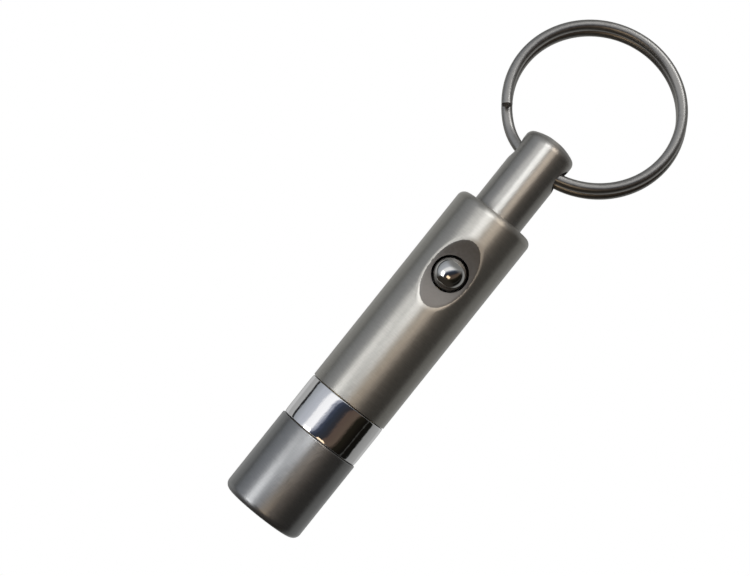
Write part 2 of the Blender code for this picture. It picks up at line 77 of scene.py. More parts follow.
def size_of(node):
    """Outer radius, bottom and top of a turned node, in metres."""
    low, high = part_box(node)
    return high.x, low.z, high.z


# ---------------------------------------------------------------- driving sizes

BARREL_R, BARREL_BOTTOM, BARREL_TOP = size_of("barrel")
CAP_R, CAP_BOTTOM, CAP_TOP = size_of("nose_cap")
BAND_R, BAND_BOTTOM, BAND_TOP = size_of("accent_band")
PLUNGER_R, PLUNGER_BOTTOM, PLUNGER_TOP = size_of("plunger")
GUIDE_R, GUIDE_BOTTOM, GUIDE_TOP = size_of("blade_guide")
BLADE_R, BLADE_BOTTOM, BLADE_TOP = size_of("punch_blade")
JOINTS = {joint["name"]: joint for joint in frame["joints"]}
RING_HINGE = Vector(JOINTS["ring_swing"]["pos_m"])
RING_AXIS = Vector(JOINTS["ring_swing"]["axis"]).normalized()
BALL_LOW, BALL_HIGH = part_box("release_ball")
BUTTON_Z = (BALL_LOW.z + BALL_HIGH.z) / 2
BALL_R = (BALL_HIGH.z - BALL_LOW.z) / 2

# Thumb scoop: radius of its floor along the body, depth under the ball, softness of its lip
# and half the length of barrel that is meshed finely around it.
SCOOP_R = 19.8 * MM
SCOOP_DEPTH = 1.03 * MM
SCOOP_LIP = 0.24 * MM
SCOOP_REACH = 7.4 * MM

# Facets around a turned piece, unless it asks for another number.
ROUND = 384
# Profile points nearer to the axis than this lie on it.
ON_AXIS = 0.0001 * MM


# ---------------------------------------------------------------- small helpers


def stand_in(item, body, node):
    """Let a piece ride on a body and take a CAD node's place."""
    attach(item, body)
    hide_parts(node)
    return item


def new_object(name, shape, material=None):
    """Object made of a bmesh, which is freed."""
    mesh = bpy.data.meshes.new(name)
    shape.to_mesh(mesh)
    shape.free()
    if material:
        mesh.materials.append(material)
    item = bpy.data.objects.new(name, mesh)
    bpy.context.scene.collection.objects.link(item)
    return item


def arc(r, z, radius, start, end, steps=10):
    """Profile points on an arc, angles in degrees."""
    turns = [math.radians(start + (end - start) * i / steps) for i in range(steps + 1)]
    return [(r + radius * math.cos(a), z + radius * math.sin(a)) for a in turns]


def lathe(name, profile, material=None, steps=ROUND, closed=True):
    """Turned mesh about Z. An open profile starts and ends on the axis."""
    shape = bmesh.new()
    rings = []
    for r, z in profile:
        if r < ON_AXIS:
            rings.append([shape.verts.new((0, 0, z))])
            continue
        ring = []
        for i in range(steps):
            angle = 2 * math.pi * (i + 0.5) / steps
            ring.append(shape.verts.new((r * math.cos(angle), r * math.sin(angle), z)))
        rings.append(ring)
    pairs = list(zip(rings, rings[1:]))
    if closed:
        pairs.append((rings[-1], rings[0]))
    for upper, lower in pairs:
        for i in range(steps):
            j = (i + 1) % steps
            corners = [upper[i % len(upper)], lower[i % len(lower)]]
            if len(lower) > 1:
                corners.append(lower[j])
            if len(upper) > 1:
                corners.append(upper[j])
            shape.faces.new(corners)
    bmesh.ops.recalc_face_normals(shape, faces=shape.faces)
    return finish_mesh(name, shape, material, sharp=35)


def finish_mesh(name, shape, material, sharp):
    """Smooth-shaded object with hard edges above an angle in degrees."""
    item = new_object(name, shape, material)
    item.data.shade_smooth()
    item.data.set_sharp_from_angle(angle=math.radians(sharp))
    return item


def boolean_cut(item, cutter, sharp=25):
    """Cut a closed mesh by another one, apply it and remove the cutter."""
    modifier = item.modifiers.new("cut", "BOOLEAN")
    modifier.operation = "DIFFERENCE"
    modifier.solver = "EXACT"
    modifier.object = cutter
    graph = bpy.context.evaluated_depsgraph_get()
    result = bpy.data.meshes.new_from_object(item.evaluated_get(graph))
    item.modifiers.clear()
    old = item.data
    item.data = result
    result.name = item.name
    bpy.data.meshes.remove(old)
    bpy.data.objects.remove(cutter)
    result.shade_smooth()
    result.set_sharp_from_angle(angle=math.radians(sharp))


def round_cutter(name, radius, depth, steps):
    """Closed cylinder along Z, centred on the origin."""
    shape = bmesh.new()
    bmesh.ops.create_cone(
        shape, cap_ends=True, segments=steps, radius1=radius, radius2=radius, depth=depth
    )
    return new_object(name, shape)


def box_cutter(name, size):
    """Closed box centred on the origin."""
    shape = bmesh.new()
    bmesh.ops.create_cube(shape, size=1.0)
    bmesh.ops.scale(shape, vec=size, verts=shape.verts)
    return new_object(name, shape)


# ---------------------------------------------------------------- materials


# Features per metre along X, Y and Z.
TURNED = (700, 700, 8000)
CROSSWISE = (500, 500, 9000)
PLASTIC_MARKS = (900, 900, 6000)
BLOTCHES = (160, 160, 90)
MILLED = (2500, 2500, 2500)
DRAWN = (2000, 2000, 2000)
PLATED = (1500, 1500, 1500)


class Nodes:
    """Shorthand for building one node tree."""

    def __init__(self, tree):
        self.tree = tree

    def add(self, kind, **values):
        node = self.tree.nodes.new(kind)
        for key, value in values.items():
            setattr(node, key, value)
        return node

    def link(self, source, target):
        self.tree.links.new(source, target)

    def feed(self, value, target):
        """Link a socket to an input, or set the input to a plain value."""
        if hasattr(value, "links"):
            self.link(value, target)
        else:
            target.default_value = value

    def calculate(self, operation, first, second):
        """Result of a math node on sockets or numbers."""
        node = self.add("ShaderNodeMath", operation=operation)
        self.feed(first, node.inputs[0])
        self.feed(second, node.inputs[1])
        return node.outputs[0]

    def scaled_position(self, scale):
        """Place on the object, times a scale along each axis."""
        coordinates = self.add("ShaderNodeTexCoord")
        mapping = self.add("ShaderNodeMapping")
        mapping.inputs["Scale"].default_value = scale
        self.link(coordinates.outputs["Object"], mapping.inputs["Vector"])
        return mapping.outputs["Vector"]

    def noise(self, scale, detail=3.0):
        """Noise texture with this many features per metre along each axis."""
        node = self.add("ShaderNodeTexNoise")
        node.inputs["Scale"].default_value = 1.0
        node.inputs["Detail"].default_value = detail
        node.inputs["Roughness"].default_value = 0.6
        self.link(self.scaled_position(scale), node.inputs["Vector"])
        return node.outputs["Fac"]

    def ramp(self, value, low, high, start=0.3, end=0.7):
        """Value mapped from start..end to low..high."""
        node = self.add("ShaderNodeMapRange")
        node.inputs["From Min"].default_value = start
        node.inputs["From Max"].default_value = end
        node.inputs["To Min"].default_value = low
        node.inputs["To Max"].default_value = high
        self.link(value, node.inputs["Value"])
        return node.outputs["Result"]

    def fade(self, value, start, end):
        """Soft step from 0 at start to 1 at end."""
        node = self.add("ShaderNodeMapRange", interpolation_type="SMOOTHSTEP")
        node.inputs["From Min"].default_value = start
        node.inputs["From Max"].default_value = end
        self.link(value, node.inputs["Value"])
        return node.outputs["Result"]

    def mix_colour(self, factor, first, second):
        """Colour between two sockets or colours."""
        node = self.add("ShaderNodeMix", data_type="RGBA")
        self.link(factor, node.inputs["Factor"])
        # The node has inputs and outputs for other types of data before these.
        first_input, second_input, result = 6, 7, 2
        for colour, index in ((first, first_input), (second, second_input)):
            if not hasattr(colour, "links"):
                colour = (*colour, 1.0)
            self.feed(colour, node.inputs[index])
        return node.outputs[result]


def new_material(name, colour):
    """Material, shorthand for its node tree, and its shader."""
    material = bpy.data.materials.new(name)
    material.use_nodes = True
    material.diffuse_color = (*colour, 1.0)
    return material, Nodes(material.node_tree), material.node_tree.nodes["Principled BSDF"]


def edge_mask(nodes, radius):
    """1 on edges and 0 on open faces, from the bevel shader's bent normal."""
    bevel = nodes.add("ShaderNodeBevel", samples=6)
    bevel.inputs["Radius"].default_value = radius
    geometry = nodes.add("ShaderNodeNewGeometry")
    dot = nodes.add("ShaderNodeVectorMath", operation="DOT_PRODUCT")
    nodes.link(bevel.outputs[0], dot.inputs[0])
    nodes.link(geometry.outputs["Normal"], dot.inputs[1])
    return nodes.ramp(dot.outputs["Value"], 1.0, 0.0, start=0.8, end=0.99)


def add_bump(nodes, shader, height, depth):
    """Relief from a height texture, this many metres deep."""
    bump = nodes.add("ShaderNodeBump")
    bump.inputs["Distance"].default_value = depth
    nodes.link(height, bump.inputs["Height"])
    nodes.link(bump.outputs[0], shader.inputs["Normal"])


def add_turned_sheen(nodes, shader, amount):
    """Stretch highlights along Z, as fine lines turned around Z do."""
    quarter_turn = 0.25
    tangent = nodes.add("ShaderNodeTangent", direction_type="RADIAL", axis="Z")
    nodes.link(tangent.outputs[0], shader.inputs["Tangent"])
    shader.inputs["Anisotropic"].default_value = amount
    shader.inputs["Anisotropic Rotation"].default_value = quarter_turn


def metal(name, colour, rough, grain, grain_depth=0.0, variation=0.12, rough_swing=0.05,
          edge_wear_and_highlight=None, wear_and_highlight_radius=0.12 * MM, sheen=0.0, metallic=1.0):
    """A metal with directional grain, blotchy roughness and lighter edges, partly wear and
    partly painted edge highlight.

    grain is the number of grain lines per metre along X, Y and Z, grain_depth is in metres,
    variation is the swing of the colour, and sheen stretches the highlights along Z.
    """
    material, nodes, shader = new_material(name, colour)
    lines = nodes.noise(grain, detail=4.0)
    darker = tuple(c * (1 - variation) for c in colour)
    lighter = tuple(min(c * (1 + variation), 1.0) for c in colour)
    base = nodes.mix_colour(nodes.ramp(lines, 0, 1), darker, lighter)
    # Lighter edge colour: partly wear, partly painted edge highlight.
    if edge_wear_and_highlight:
        base = nodes.mix_colour(edge_mask(nodes, wear_and_highlight_radius), base, edge_wear_and_highlight)
    rough_lines = nodes.ramp(lines, rough - rough_swing, rough + rough_swing)
    rough_blotches = nodes.ramp(nodes.noise(BLOTCHES), -rough_swing / 2, rough_swing / 2)
    nodes.link(base, shader.inputs["Base Color"])
    nodes.link(nodes.calculate("ADD", rough_lines, rough_blotches), shader.inputs["Roughness"])
    shader.inputs["Metallic"].default_value = metallic
    if sheen:
        add_turned_sheen(nodes, shader, sheen)
    if grain_depth:
        add_bump(nodes, shader, lines, grain_depth)
    return material


def plastic(name, colour, rough):
    """A moulded plastic with faint turning marks."""
    darkest = 0.7
    rough_swing = 0.1
    mark_depth = 0.01 * MM
    material, nodes, shader = new_material(name, colour)
    marks = nodes.noise(PLASTIC_MARKS)
    darker = tuple(c * darkest for c in colour)
    base = nodes.mix_colour(nodes.ramp(marks, 0, 1), darker, colour)
    roughness = nodes.ramp(marks, rough - rough_swing, rough + rough_swing)
    nodes.link(base, shader.inputs["Base Color"])
    nodes.link(roughness, shader.inputs["Roughness"])
    add_bump(nodes, shader, marks, mark_depth)
    return material


# The lighter edge colours of the metals below are partly wear and partly painted edge highlight.
SATIN = metal(
    "satin_steel", (0.385, 0.378, 0.355), rough=0.42, grain=TURNED, grain_depth=0.0005 * MM,
    variation=0.09, rough_swing=0.04, edge_wear_and_highlight=(0.5, 0.5, 0.49), sheen=0.8, metallic=0.9,
)
PLUNGER_SATIN = metal(
    "plunger_satin", (0.36, 0.355, 0.34), rough=0.4, grain=TURNED, grain_depth=0.0005 * MM,
    variation=0.07, rough_swing=0.04, edge_wear_and_highlight=(0.5, 0.5, 0.49), sheen=0.8, metallic=0.9,
)
GUNMETAL = metal(
    "gunmetal", (0.275, 0.28, 0.285), rough=0.34, grain=TURNED, grain_depth=0.0004 * MM,
    variation=0.07, rough_swing=0.04, edge_wear_and_highlight=(0.4, 0.4, 0.41), sheen=0.6, metallic=0.92,
)
# The scoop floor's rougher grain is its milled finish; its dark colour is painted shade of the
# recess.
SHADED_SCOOP_STEEL = metal(
    "shaded_scoop_steel", (0.105, 0.101, 0.097), rough=0.5, grain=MILLED, grain_depth=0.0006 * MM,
    variation=0.1,
)
CHROME = metal(
    "chrome", (0.86, 0.86, 0.88), rough=0.06, grain=(260, 260, 180), grain_depth=0.05 * MM,
    variation=0.01, rough_swing=0.012,
)
BALL_CHROME = metal(
    "ball_chrome", (0.68, 0.68, 0.67), rough=0.1, grain=(400, 400, 400), variation=0.02,
    rough_swing=0.015,
)
BLADE_STEEL = metal(
    "blade_steel", (0.62, 0.61, 0.59), rough=0.14, grain=CROSSWISE, grain_depth=0.002 * MM,
    variation=0.08, edge_wear_and_highlight=(0.8, 0.8, 0.8), wear_and_highlight_radius=0.05 * MM,
)
RING_NICKEL = metal(
    "ring_nickel", (0.355, 0.348, 0.335), rough=0.36, grain=PLATED, grain_depth=0.0002 * MM,
    variation=0.08, rough_swing=0.04, metallic=0.95,
)
SPRING_STEEL = metal(
    "spring_steel", (0.42, 0.42, 0.43), rough=0.25, grain=DRAWN, grain_depth=0.002 * MM,
    variation=0.15, rough_swing=0.06,
)
TURNED_BRASS = metal(
    "turned_brass", (0.6, 0.45, 0.2), rough=0.28, grain=CROSSWISE, grain_depth=0.003 * MM,
    rough_swing=0.06, edge_wear_and_highlight=(0.75, 0.6, 0.32),
)
# Also put on the latch housing as painted shade for the gap round the ball.
BLACK_OXIDE_AND_GAP_SHADE = metal(
    "black_oxide_and_gap_shade", (0.05, 0.05, 0.05), rough=0.4, grain=CROSSWISE, grain_depth=0.003 * MM,
    variation=0.2, rough_swing=0.06, edge_wear_and_highlight=(0.12, 0.12, 0.12),
)
ACETAL = plastic("black_acetal", (0.03, 0.03, 0.032), 0.42)


# ---------------------------------------------------------------- body pieces


def facing_front(distance=0.0):
    """Placement at the ball's height that turns +Z to -Y, this far in front of the axis."""
    turned = Matrix.Rotation(math.radians(90), 4, "X")
    return Matrix.Translation((0, -distance, BUTTON_Z)) @ turned


def smooth_min(first, second, blend):
    """Smaller of two values, rounded off where they are within blend of each other."""
    mix = min(max(0.5 + 0.5 * (second - first) / blend, 0.0), 1.0)
    return second * (1 - mix) + first * mix - blend * mix * (1 - mix)


def scooped_radius(angle, z):
    """Barrel radius at an angle away from -Y, where the thumb scoop is cut in."""
    off_centre = z - BUTTON_Z
    ball_side = math.cos(angle)
    side_limit = 0.2
    if abs(off_centre) > SCOOP_R or ball_side < side_limit:
        return BARREL_R
    depth_line = BARREL_R - SCOOP_DEPTH + SCOOP_R - math.sqrt(SCOOP_R**2 - off_centre**2)
    return min(smooth_min(BARREL_R, depth_line / ball_side, SCOOP_LIP), BARREL_R)


def press_in_scoop(barrel):
    """Move the outer surface in to the scoop's floor."""
    tolerance = 0.001 * MM
    for vertex in barrel.data.vertices:
        radius = math.hypot(vertex.co.x, vertex.co.y)
        if radius < BARREL_R - tolerance:
            continue
        target = scooped_radius(math.atan2(vertex.co.x, -vertex.co.y), vertex.co.z)
        vertex.co.x *= target / radius
        vertex.co.y *= target / radius


def shade_scoop_floor(barrel):
    """Give the scoop's milled floor a rougher finish and a much darker colour; the darkness is
    painted shade of the recess.
    """
    lip_depth = 0.08 * MM
    floor_depth = 1.1 * SCOOP_DEPTH
    facing_ball_side = -0.5
    barrel.data.materials.append(SHADED_SCOOP_STEEL)
    for face in barrel.data.polygons:
        middle = face.center
        inset = BARREL_R - math.hypot(middle.x, middle.y)
        near_ball = abs(middle.z - BUTTON_Z) < SCOOP_REACH
        if near_ball and face.normal.y < facing_ball_side and lip_depth < inset < floor_depth:
            face.material_index = 1


def barrel_profile():
    """Outline of the main tube with its round shoulder, thread and latch bores."""
    fillet = 1.3 * MM
    edge = 0.12 * MM
    thread_r = 5.8 * MM
    thread_top = BARREL_BOTTOM + 8.35 * MM
    latch_r = 4.9 * MM
    latch_top = BUTTON_Z + 2.8 * MM
    bore_r = PLUNGER_R + 0.1 * MM
    rows = 110
    profile = [(bore_r, BARREL_TOP - edge), (bore_r + edge, BARREL_TOP)]
    profile += arc(BARREL_R - fillet, BARREL_TOP - fillet, fillet, 90, 0, 14)
    profile += [(BARREL_R, BUTTON_Z + SCOOP_REACH * (1 - 2 * i / rows)) for i in range(rows + 1)]
    profile += arc(BARREL_R - edge, BARREL_BOTTOM + edge, edge, 0, -90, 4)
    profile += [(thread_r, BARREL_BOTTOM), (thread_r, thread_top), (latch_r, thread_top)]
    profile += [(latch_r, latch_top), (bore_r, latch_top)]
    return profile


def make_barrel():
    """Main tube with the thumb scoop, its soft lips, and the ball's hole."""
    hole_r = 3.0 * MM
    hole_depth = 5 * MM
    hole_middle = 6.1 * MM
    barrel = lathe("barrel_tube", barrel_profile(), SATIN, steps=420)
    press_in_scoop(barrel)
    hole = round_cutter("ball_hole", hole_r, hole_depth, 128)
    hole.matrix_world = facing_front(hole_middle)
    boolean_cut(barrel, hole)
    shade_scoop_floor(barrel)
    return stand_in(barrel, "housing", "barrel")


def make_band():
    """Chrome band with a slight crown towards its softly broken edges."""
    edge = 0.2 * MM
    crown = 0.05 * MM
    crown_length = 1.3 * MM
    crown_power = 2.5
    inner = 6.0 * MM
    steps = 12

    def crowned(z):
        away = min(BAND_TOP - edge - z, z - BAND_BOTTOM - edge)
        return BAND_R - crown * max(1 - away / crown_length, 0) ** crown_power

    low, high = BAND_BOTTOM + edge, BAND_TOP - edge
    wall = [high - (high - low) * i / (2 * steps) for i in range(1, 2 * steps)]
    rim_r = BAND_R - crown - edge
    profile = [(inner, BAND_TOP)]
    profile += arc(rim_r, high, edge, 90, 0, 6)
    profile += [(crowned(z), z) for z in wall]
    profile += arc(rim_r, low, edge, 0, -90, 6)
    profile += [(inner, BAND_BOTTOM)]
    band = lathe("chrome_band", profile, CHROME)
    return stand_in(band, "housing", "accent_band")


def make_cap():
    """Dark lower cap with the rounded nose and its open mouth."""
    nose = 1.3 * MM
    edge = 0.15 * MM
    mouth_r = 5.3 * MM
    lip = 1.8 * MM
    bore_r = 6.0 * MM
    profile = [(bore_r, CAP_TOP)]
    profile += arc(CAP_R - edge, CAP_TOP - edge, edge, 90, 0, 5)
    profile += arc(CAP_R - nose, CAP_BOTTOM + nose, nose, 0, -90, 14)
    profile += arc(mouth_r + edge, CAP_BOTTOM + edge, edge, 270, 180, 5)
    profile += [(mouth_r, CAP_BOTTOM + lip), (bore_r, CAP_BOTTOM + lip)]
    cap = lathe("nose_cap_shell", profile, GUNMETAL)
    return stand_in(cap, "housing", "nose_cap")


def make_guide():
    """Plastic ring around the blade, with a small lead-in at its bore."""
    bore_r = 4.75 * MM
    lead = 0.3 * MM
    edge = 0.12 * MM
    profile = [(bore_r, GUIDE_TOP), (GUIDE_R - edge, GUIDE_TOP), (GUIDE_R, GUIDE_TOP - edge)]
    profile += [(GUIDE_R, GUIDE_BOTTOM + edge), (GUIDE_R - edge, GUIDE_BOTTOM)]
    profile += [(bore_r + lead, GUIDE_BOTTOM), (bore_r, GUIDE_BOTTOM + lead)]
    guide = lathe("blade_guide_ring", profile, ACETAL, steps=192)
    return stand_in(guide, "housing", "blade_guide")


def press_dome(fillet=1.3 * MM, flat_r=1.4 * MM, dome_r=9.0 * MM):
    """Flat disc, shallow dome and round corner at the plunger's top."""
    corner_r = PLUNGER_R - fillet
    dome_top = PLUNGER_TOP + flat_r**2 / (2 * dome_r)
    slope = math.asin(corner_r / (dome_r - fillet))
    meeting_r = corner_r + fillet * math.sin(slope)
    meeting_z = dome_top - dome_r * (1 - math.cos(slope))
    steps = 10
    dome = []
    for i in range(steps):
        r = flat_r + (meeting_r - flat_r) * i / steps
        dome.append((r, min(dome_top - dome_r + math.sqrt(dome_r**2 - r**2), PLUNGER_TOP)))
    corner_z = meeting_z - fillet * math.cos(slope)
    return dome + arc(corner_r, corner_z, fillet, 90 - math.degrees(slope), 0, 16)


def make_plunger():
    """Press-down end of the body with the key ring's cross hole."""
    edge = 0.12 * MM
    socket_r = 1.55 * MM
    socket_top = PLUNGER_TOP - 11.9 * MM
    profile = [(0, PLUNGER_TOP)] + press_dome()
    profile += [(PLUNGER_R, PLUNGER_BOTTOM + edge), (PLUNGER_R - edge, PLUNGER_BOTTOM)]
    profile += [(socket_r, PLUNGER_BOTTOM), (socket_r, socket_top), (0, socket_top)]
    plunger = lathe("plunger_body", profile, PLUNGER_SATIN, steps=512, closed=False)

    hole_r = 2.1 * MM
    mouth_r = 2.25 * MM
    reach = PLUNGER_R + 1.0 * MM
    straight = PLUNGER_R - 0.15 * MM
    bore = [(0, reach), (mouth_r, reach), (mouth_r, PLUNGER_R), (hole_r, straight)]
    bore += [(r, -z) for r, z in reversed(bore)]
    cutter = lathe("ring_hole", bore, steps=128, closed=False)
    along_axis = RING_AXIS.to_track_quat("Z", "Y").to_matrix().to_4x4()
    cutter.matrix_world = Matrix.Translation(RING_HINGE) @ along_axis
    boolean_cut(plunger, cutter)
    return stand_in(plunger, "plunger", "plunger")


def make_blade():
    """Thin sharpened tube with two notches in its edge."""
    bore_r = BLADE_R - 0.3 * MM
    edge_r = bore_r + 0.04 * MM
    bevel = 0.9 * MM
    profile = [(bore_r, BLADE_TOP), (BLADE_R, BLADE_TOP), (BLADE_R, BLADE_BOTTOM + bevel)]
    profile += [(edge_r, BLADE_BOTTOM), (bore_r, BLADE_BOTTOM)]
    blade = lathe("punch_blade_tube", profile, BLADE_STEEL, steps=256)

    notch_width = 0.8 * MM
    notch_height = 1.6 * MM
    notch_turn = math.radians(-35)
    right_through = 12 * MM
    notch = box_cutter("notch", (notch_width, right_through, 2 * notch_height))
    at_edge = Matrix.Translation((0, 0, BLADE_BOTTOM))
    notch.matrix_world = at_edge @ Matrix.Rotation(notch_turn, 4, "Z")
    boolean_cut(blade, notch, sharp=20)
    return stand_in(blade, "plunger", "punch_blade")


def make_ball():
    """Polished ball with a turned shank and pin behind it."""
    front = -BALL_LOW.y
    centre = front - BALL_R
    back = 4.9 * MM
    shank_r = 2.0 * MM
    shank_back = -BALL_HIGH.y
    pin_r = 0.75 * MM
    pin_end = 5.65 * MM
    rim = math.degrees(math.asin((back - centre) / BALL_R))
    profile = arc(0, centre, BALL_R, 90, rim, 40)
    profile[0] = (0, front)
    profile += [(shank_r, back), (shank_r, shank_back)]
    profile += [(pin_r, shank_back), (pin_r, pin_end), (0, pin_end)]
    ball = lathe("release_ball_dome", profile, BALL_CHROME, steps=128, closed=False)
    ball.matrix_world = facing_front()
    return stand_in(ball, "release", "release_ball")


# ---------------------------------------------------------------- wires


def sweep(name, path, section, material):
    """Sweep a closed section along frames of (centre, across, upright, scale)."""
    shape = bmesh.new()
    rings = []
    for centre, across, upright, scale in path:
        offsets = [(across * a + upright * b) * scale for a, b in section]
        rings.append([shape.verts.new(centre + offset) for offset in offsets])
    count = len(section)
    for first, second in zip(rings, rings[1:]):
        for i in range(count):
            j = (i + 1) % count
            shape.faces.new((first[i], first[j], second[j], second[i]))
    shape.faces.new(rings[0])
    shape.faces.new(list(reversed(rings[-1])))
    bmesh.ops.recalc_face_normals(shape, faces=shape.faces)
    return finish_mesh(name, shape, material, sharp=40)


def wire_section(radius, power, count):
    """Section of a wire: round at power 2, squarer above it."""
    points = []
    for i in range(count):
        angle = 2 * math.pi * i / count
        c, s = math.cos(angle), math.sin(angle)
        across = math.copysign(abs(c) ** (2 / power), c)
        upright = math.copysign(abs(s) ** (2 / power), s)
        points.append((radius * across, radius * upright))
    return points


def framed_path(points, centre):
    """Frames square to the wire, with bevelled ends, as sweep takes them."""
    bevel = 0.12 * MM
    tip_scale = 0.87
    path = []
    last = len(points) - 1
    for i, point in enumerate(points):
        tangent = (points[min(i + 1, last)] - points[max(i - 1, 0)]).normalized()
        outward = point - centre
        outward = (outward - tangent * outward.dot(tangent)).normalized()
        path.append((point, outward, tangent.cross(outward), 1.0))
        if i in (0, last):
            away = -tangent if i == 0 else tangent
            tip = (point + away * bevel, outward, tangent.cross(outward), tip_scale)
            path.insert(0 if i == 0 else len(path), tip)
    return path


def coil_path(radius, wire_r, turns, low, high, per_turn):
    """Frames of a helix about Z with one closed turn at each end, as sweep takes them."""
    closed_pitch = 2.15 * wire_r
    start = low + wire_r
    end = high - wire_r
    middle = end - start - 2 * closed_pitch
    upright = Vector((0, 0, 1))
    path = []
    for i in range(turns * per_turn + 1):
        turn = i / per_turn
        if turn <= 1:
            height = start + closed_pitch * turn
        elif turn >= turns - 1:
            height = end - closed_pitch * (turns - turn)
        else:
            height = start + closed_pitch + middle * (turn - 1) / (turns - 2)
        angle = 2 * math.pi * turn
        outward = Vector((math.cos(angle), math.sin(angle), 0))
        path.append((outward * radius + upright * height, outward, upright, 1.0))
    return path


def split_ring_points(ring_r, height):
    """Two turns of wire, joined by a slanting stretch that starts inside the cross hole.

    Ring frame: X along the cross hole, Z from the hole to the ring's centre. Angles are in
    degrees from X towards Z.
    """
    pitch = 1.86 * MM
    shift = 0.25 * MM
    front_end, back_end = -136.2, -84.0
    slant_front, slant_back = -88.0, -126.0
    steps = 420
    total = 720 + front_end - back_end
    slant_start = 360 + front_end - slant_front
    points = []
    for i in range(steps + 1):
        run = total * i / steps
        blend = min(max((run - slant_start) / (slant_front - slant_back), 0.0), 1.0)
        side = blend * blend * (3 - 2 * blend) - 0.5
        angle = math.radians(front_end - run)
        x = ring_r * math.cos(angle) + side * shift
        z = height + ring_r * math.sin(angle)
        points.append(Vector((x, side * pitch, z)))
    return points


def make_split_ring():
    """Key ring that leans back and hangs a little askew in the plunger's cross hole."""
    lean = math.radians(-16.9)
    slack = math.radians(4.1)
    yaw = math.atan2(RING_AXIS.y, RING_AXIS.x)
    ring_r = 14.2 * MM
    wire_r = 0.9 * MM
    drop = 0.46 * MM
    height = ring_r - drop
    path = framed_path(split_ring_points(ring_r, height), Vector((0, 0, height)))
    ring = sweep("split_ring_wire", path, wire_section(wire_r, 2.2, 28), RING_NICKEL)
    place = Matrix.Translation(RING_HINGE) @ Matrix.Rotation(yaw, 4, "Z")
    place = place @ Matrix.Rotation(lean, 4, "X") @ Matrix.Rotation(slack, 4, "Y")
    ring.data.transform(place)
    return stand_in(ring, "key_ring", "split_ring")


def make_return_spring():
    """Spring around the rod, which the plunger's stroke shortens."""
    low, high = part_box("return_spring")
    coil_r = 3.1 * MM
    wire_r = 0.35 * MM
    turns = 9
    path = coil_path(coil_r, wire_r, turns, low.z, high.z, per_turn=40)
    spring = sweep("return_spring_coil", path, wire_section(wire_r, 2, 14), SPRING_STEEL)
    stand_in(spring, "housing", "return_spring")
    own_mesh(spring)


def make_button_spring():
    """Spring behind the latch, which pressing the ball shortens."""
    low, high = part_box("button_spring")
    coil_r = 0.9 * MM
    wire_r = 0.13 * MM
    turns = 4
    path = coil_path(coil_r, wire_r, turns, -high.y, -low.y, per_turn=32)
    spring = sweep("button_spring_coil", path, wire_section(wire_r, 2, 12), SPRING_STEEL)
    spring.data.transform(facing_front())
    stand_in(spring, "housing", "button_spring")
    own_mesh(spring)


# ---------------------------------------------------------------- inner pieces


def dress_inner_nodes():
    """Give the carried-over CAD nodes their finishes; the latch housing's black is painted shade
    in the gap round the ball.
    """
    finishes = {
        "coupler": TURNED_BRASS,
        "spacer_sleeve": TURNED_BRASS,
        # Dark latch housing: painted shade that keeps the gap round the ball dark.
        "latch_housing": BLACK_OXIDE_AND_GAP_SHADE,
        "blade_carrier": TURNED_BRASS,
        "lower_washer": SPRING_STEEL,
        "upper_washer": SPRING_STEEL,
        "push_rod": SPRING_STEEL,
        "stop_clip": BLACK_OXIDE_AND_GAP_SHADE,
        "carrier_screw": BLACK_OXIDE_AND_GAP_SHADE,
        "latch_plate": SPRING_STEEL,
        "latch_pin": SPRING_STEEL,
    }
    for name, material in finishes.items():
        node = frame["nodes"][name]
        node.data.materials.clear()
        node.data.materials.append(material)


# ---------------------------------------------------------------- light and camera


# Degrees around the body, from straight at the ball towards +X, to the camera and its studio.
VIEW_TURN = 2.0

STUDIO_LEAN = math.radians(37)
STUDIO_COS = math.cos(STUDIO_LEAN)
STUDIO_SIN = math.sin(STUDIO_LEAN)

# Degrees around the body (0 is at the camera, positive is towards +X) and colour.
STUDIO_BANDS = [
    (-180, (0.36, 0.36, 0.35)),
    (-168, (0.36, 0.36, 0.35)),
    (-158, (0.55, 0.55, 0.54)),
    (-142, (0.55, 0.55, 0.54)),
    (-132, (0.40, 0.40, 0.39)),
    (-112, (0.42, 0.42, 0.41)),
    (-109, (0.02, 0.02, 0.02)),
    (-103, (0.02, 0.02, 0.02)),
    (-99, (0.34, 0.36, 0.38)),
    (-70, (0.48, 0.50, 0.54)),
    (-59, (0.54, 0.56, 0.60)),
    (-49, (1.0, 1.0, 1.0)),
    (-32, (1.05, 1.05, 1.05)),
    (-23, (0.34, 0.36, 0.42)),
    (-15, (0.05, 0.06, 0.09)),
    (-4, (0.03, 0.036, 0.05)),
    (10, (0.03, 0.03, 0.035)),
    (20, (0.10, 0.07, 0.055)),
    (38, (0.11, 0.08, 0.06)),
    (50, (0.014, 0.012, 0.008)),
    (74, (0.006, 0.005, 0.004)),
    (77, (0.05, 0.05, 0.045)),
    (80, (0.006, 0.005, 0.004)),
    (95, (0.006, 0.006, 0.005)),
    (100, (0.27, 0.27, 0.26)),
    (134, (0.36, 0.36, 0.35)),
    (146, (0.50, 0.50, 0.49)),
    (160, (0.50, 0.50, 0.49)),
    (172, (0.36, 0.36, 0.35)),
    (180, (0.36, 0.36, 0.35)),
]
STUDIO_CEILING = (0.24, 0.24, 0.235)
STUDIO_GROUND = (0.035, 0.03, 0.024)
# Sines of the angles up, and down, between which the bands give way to them.
CEILING_FADE = (0.5, 0.9)
GROUND_FADE = (0.4, 0.85)


def fill_ramp(ramp):
    """Set the bands as the ramp's stops, for angles around the leaned axis."""
    ramp.interpolation = "EASE"
    while len(ramp.elements) < len(STUDIO_BANDS):
        ramp.elements.new(0.5)
    for element, (degrees, colour) in zip(ramp.elements, STUDIO_BANDS):
        angle = math.radians(degrees)
        leaned = math.atan2(STUDIO_COS * math.sin(angle), math.cos(angle))
        element.position = min(max(leaned / (2 * math.pi) + 0.5, 0.0), 1.0)
        element.color = (*colour, 1.0)


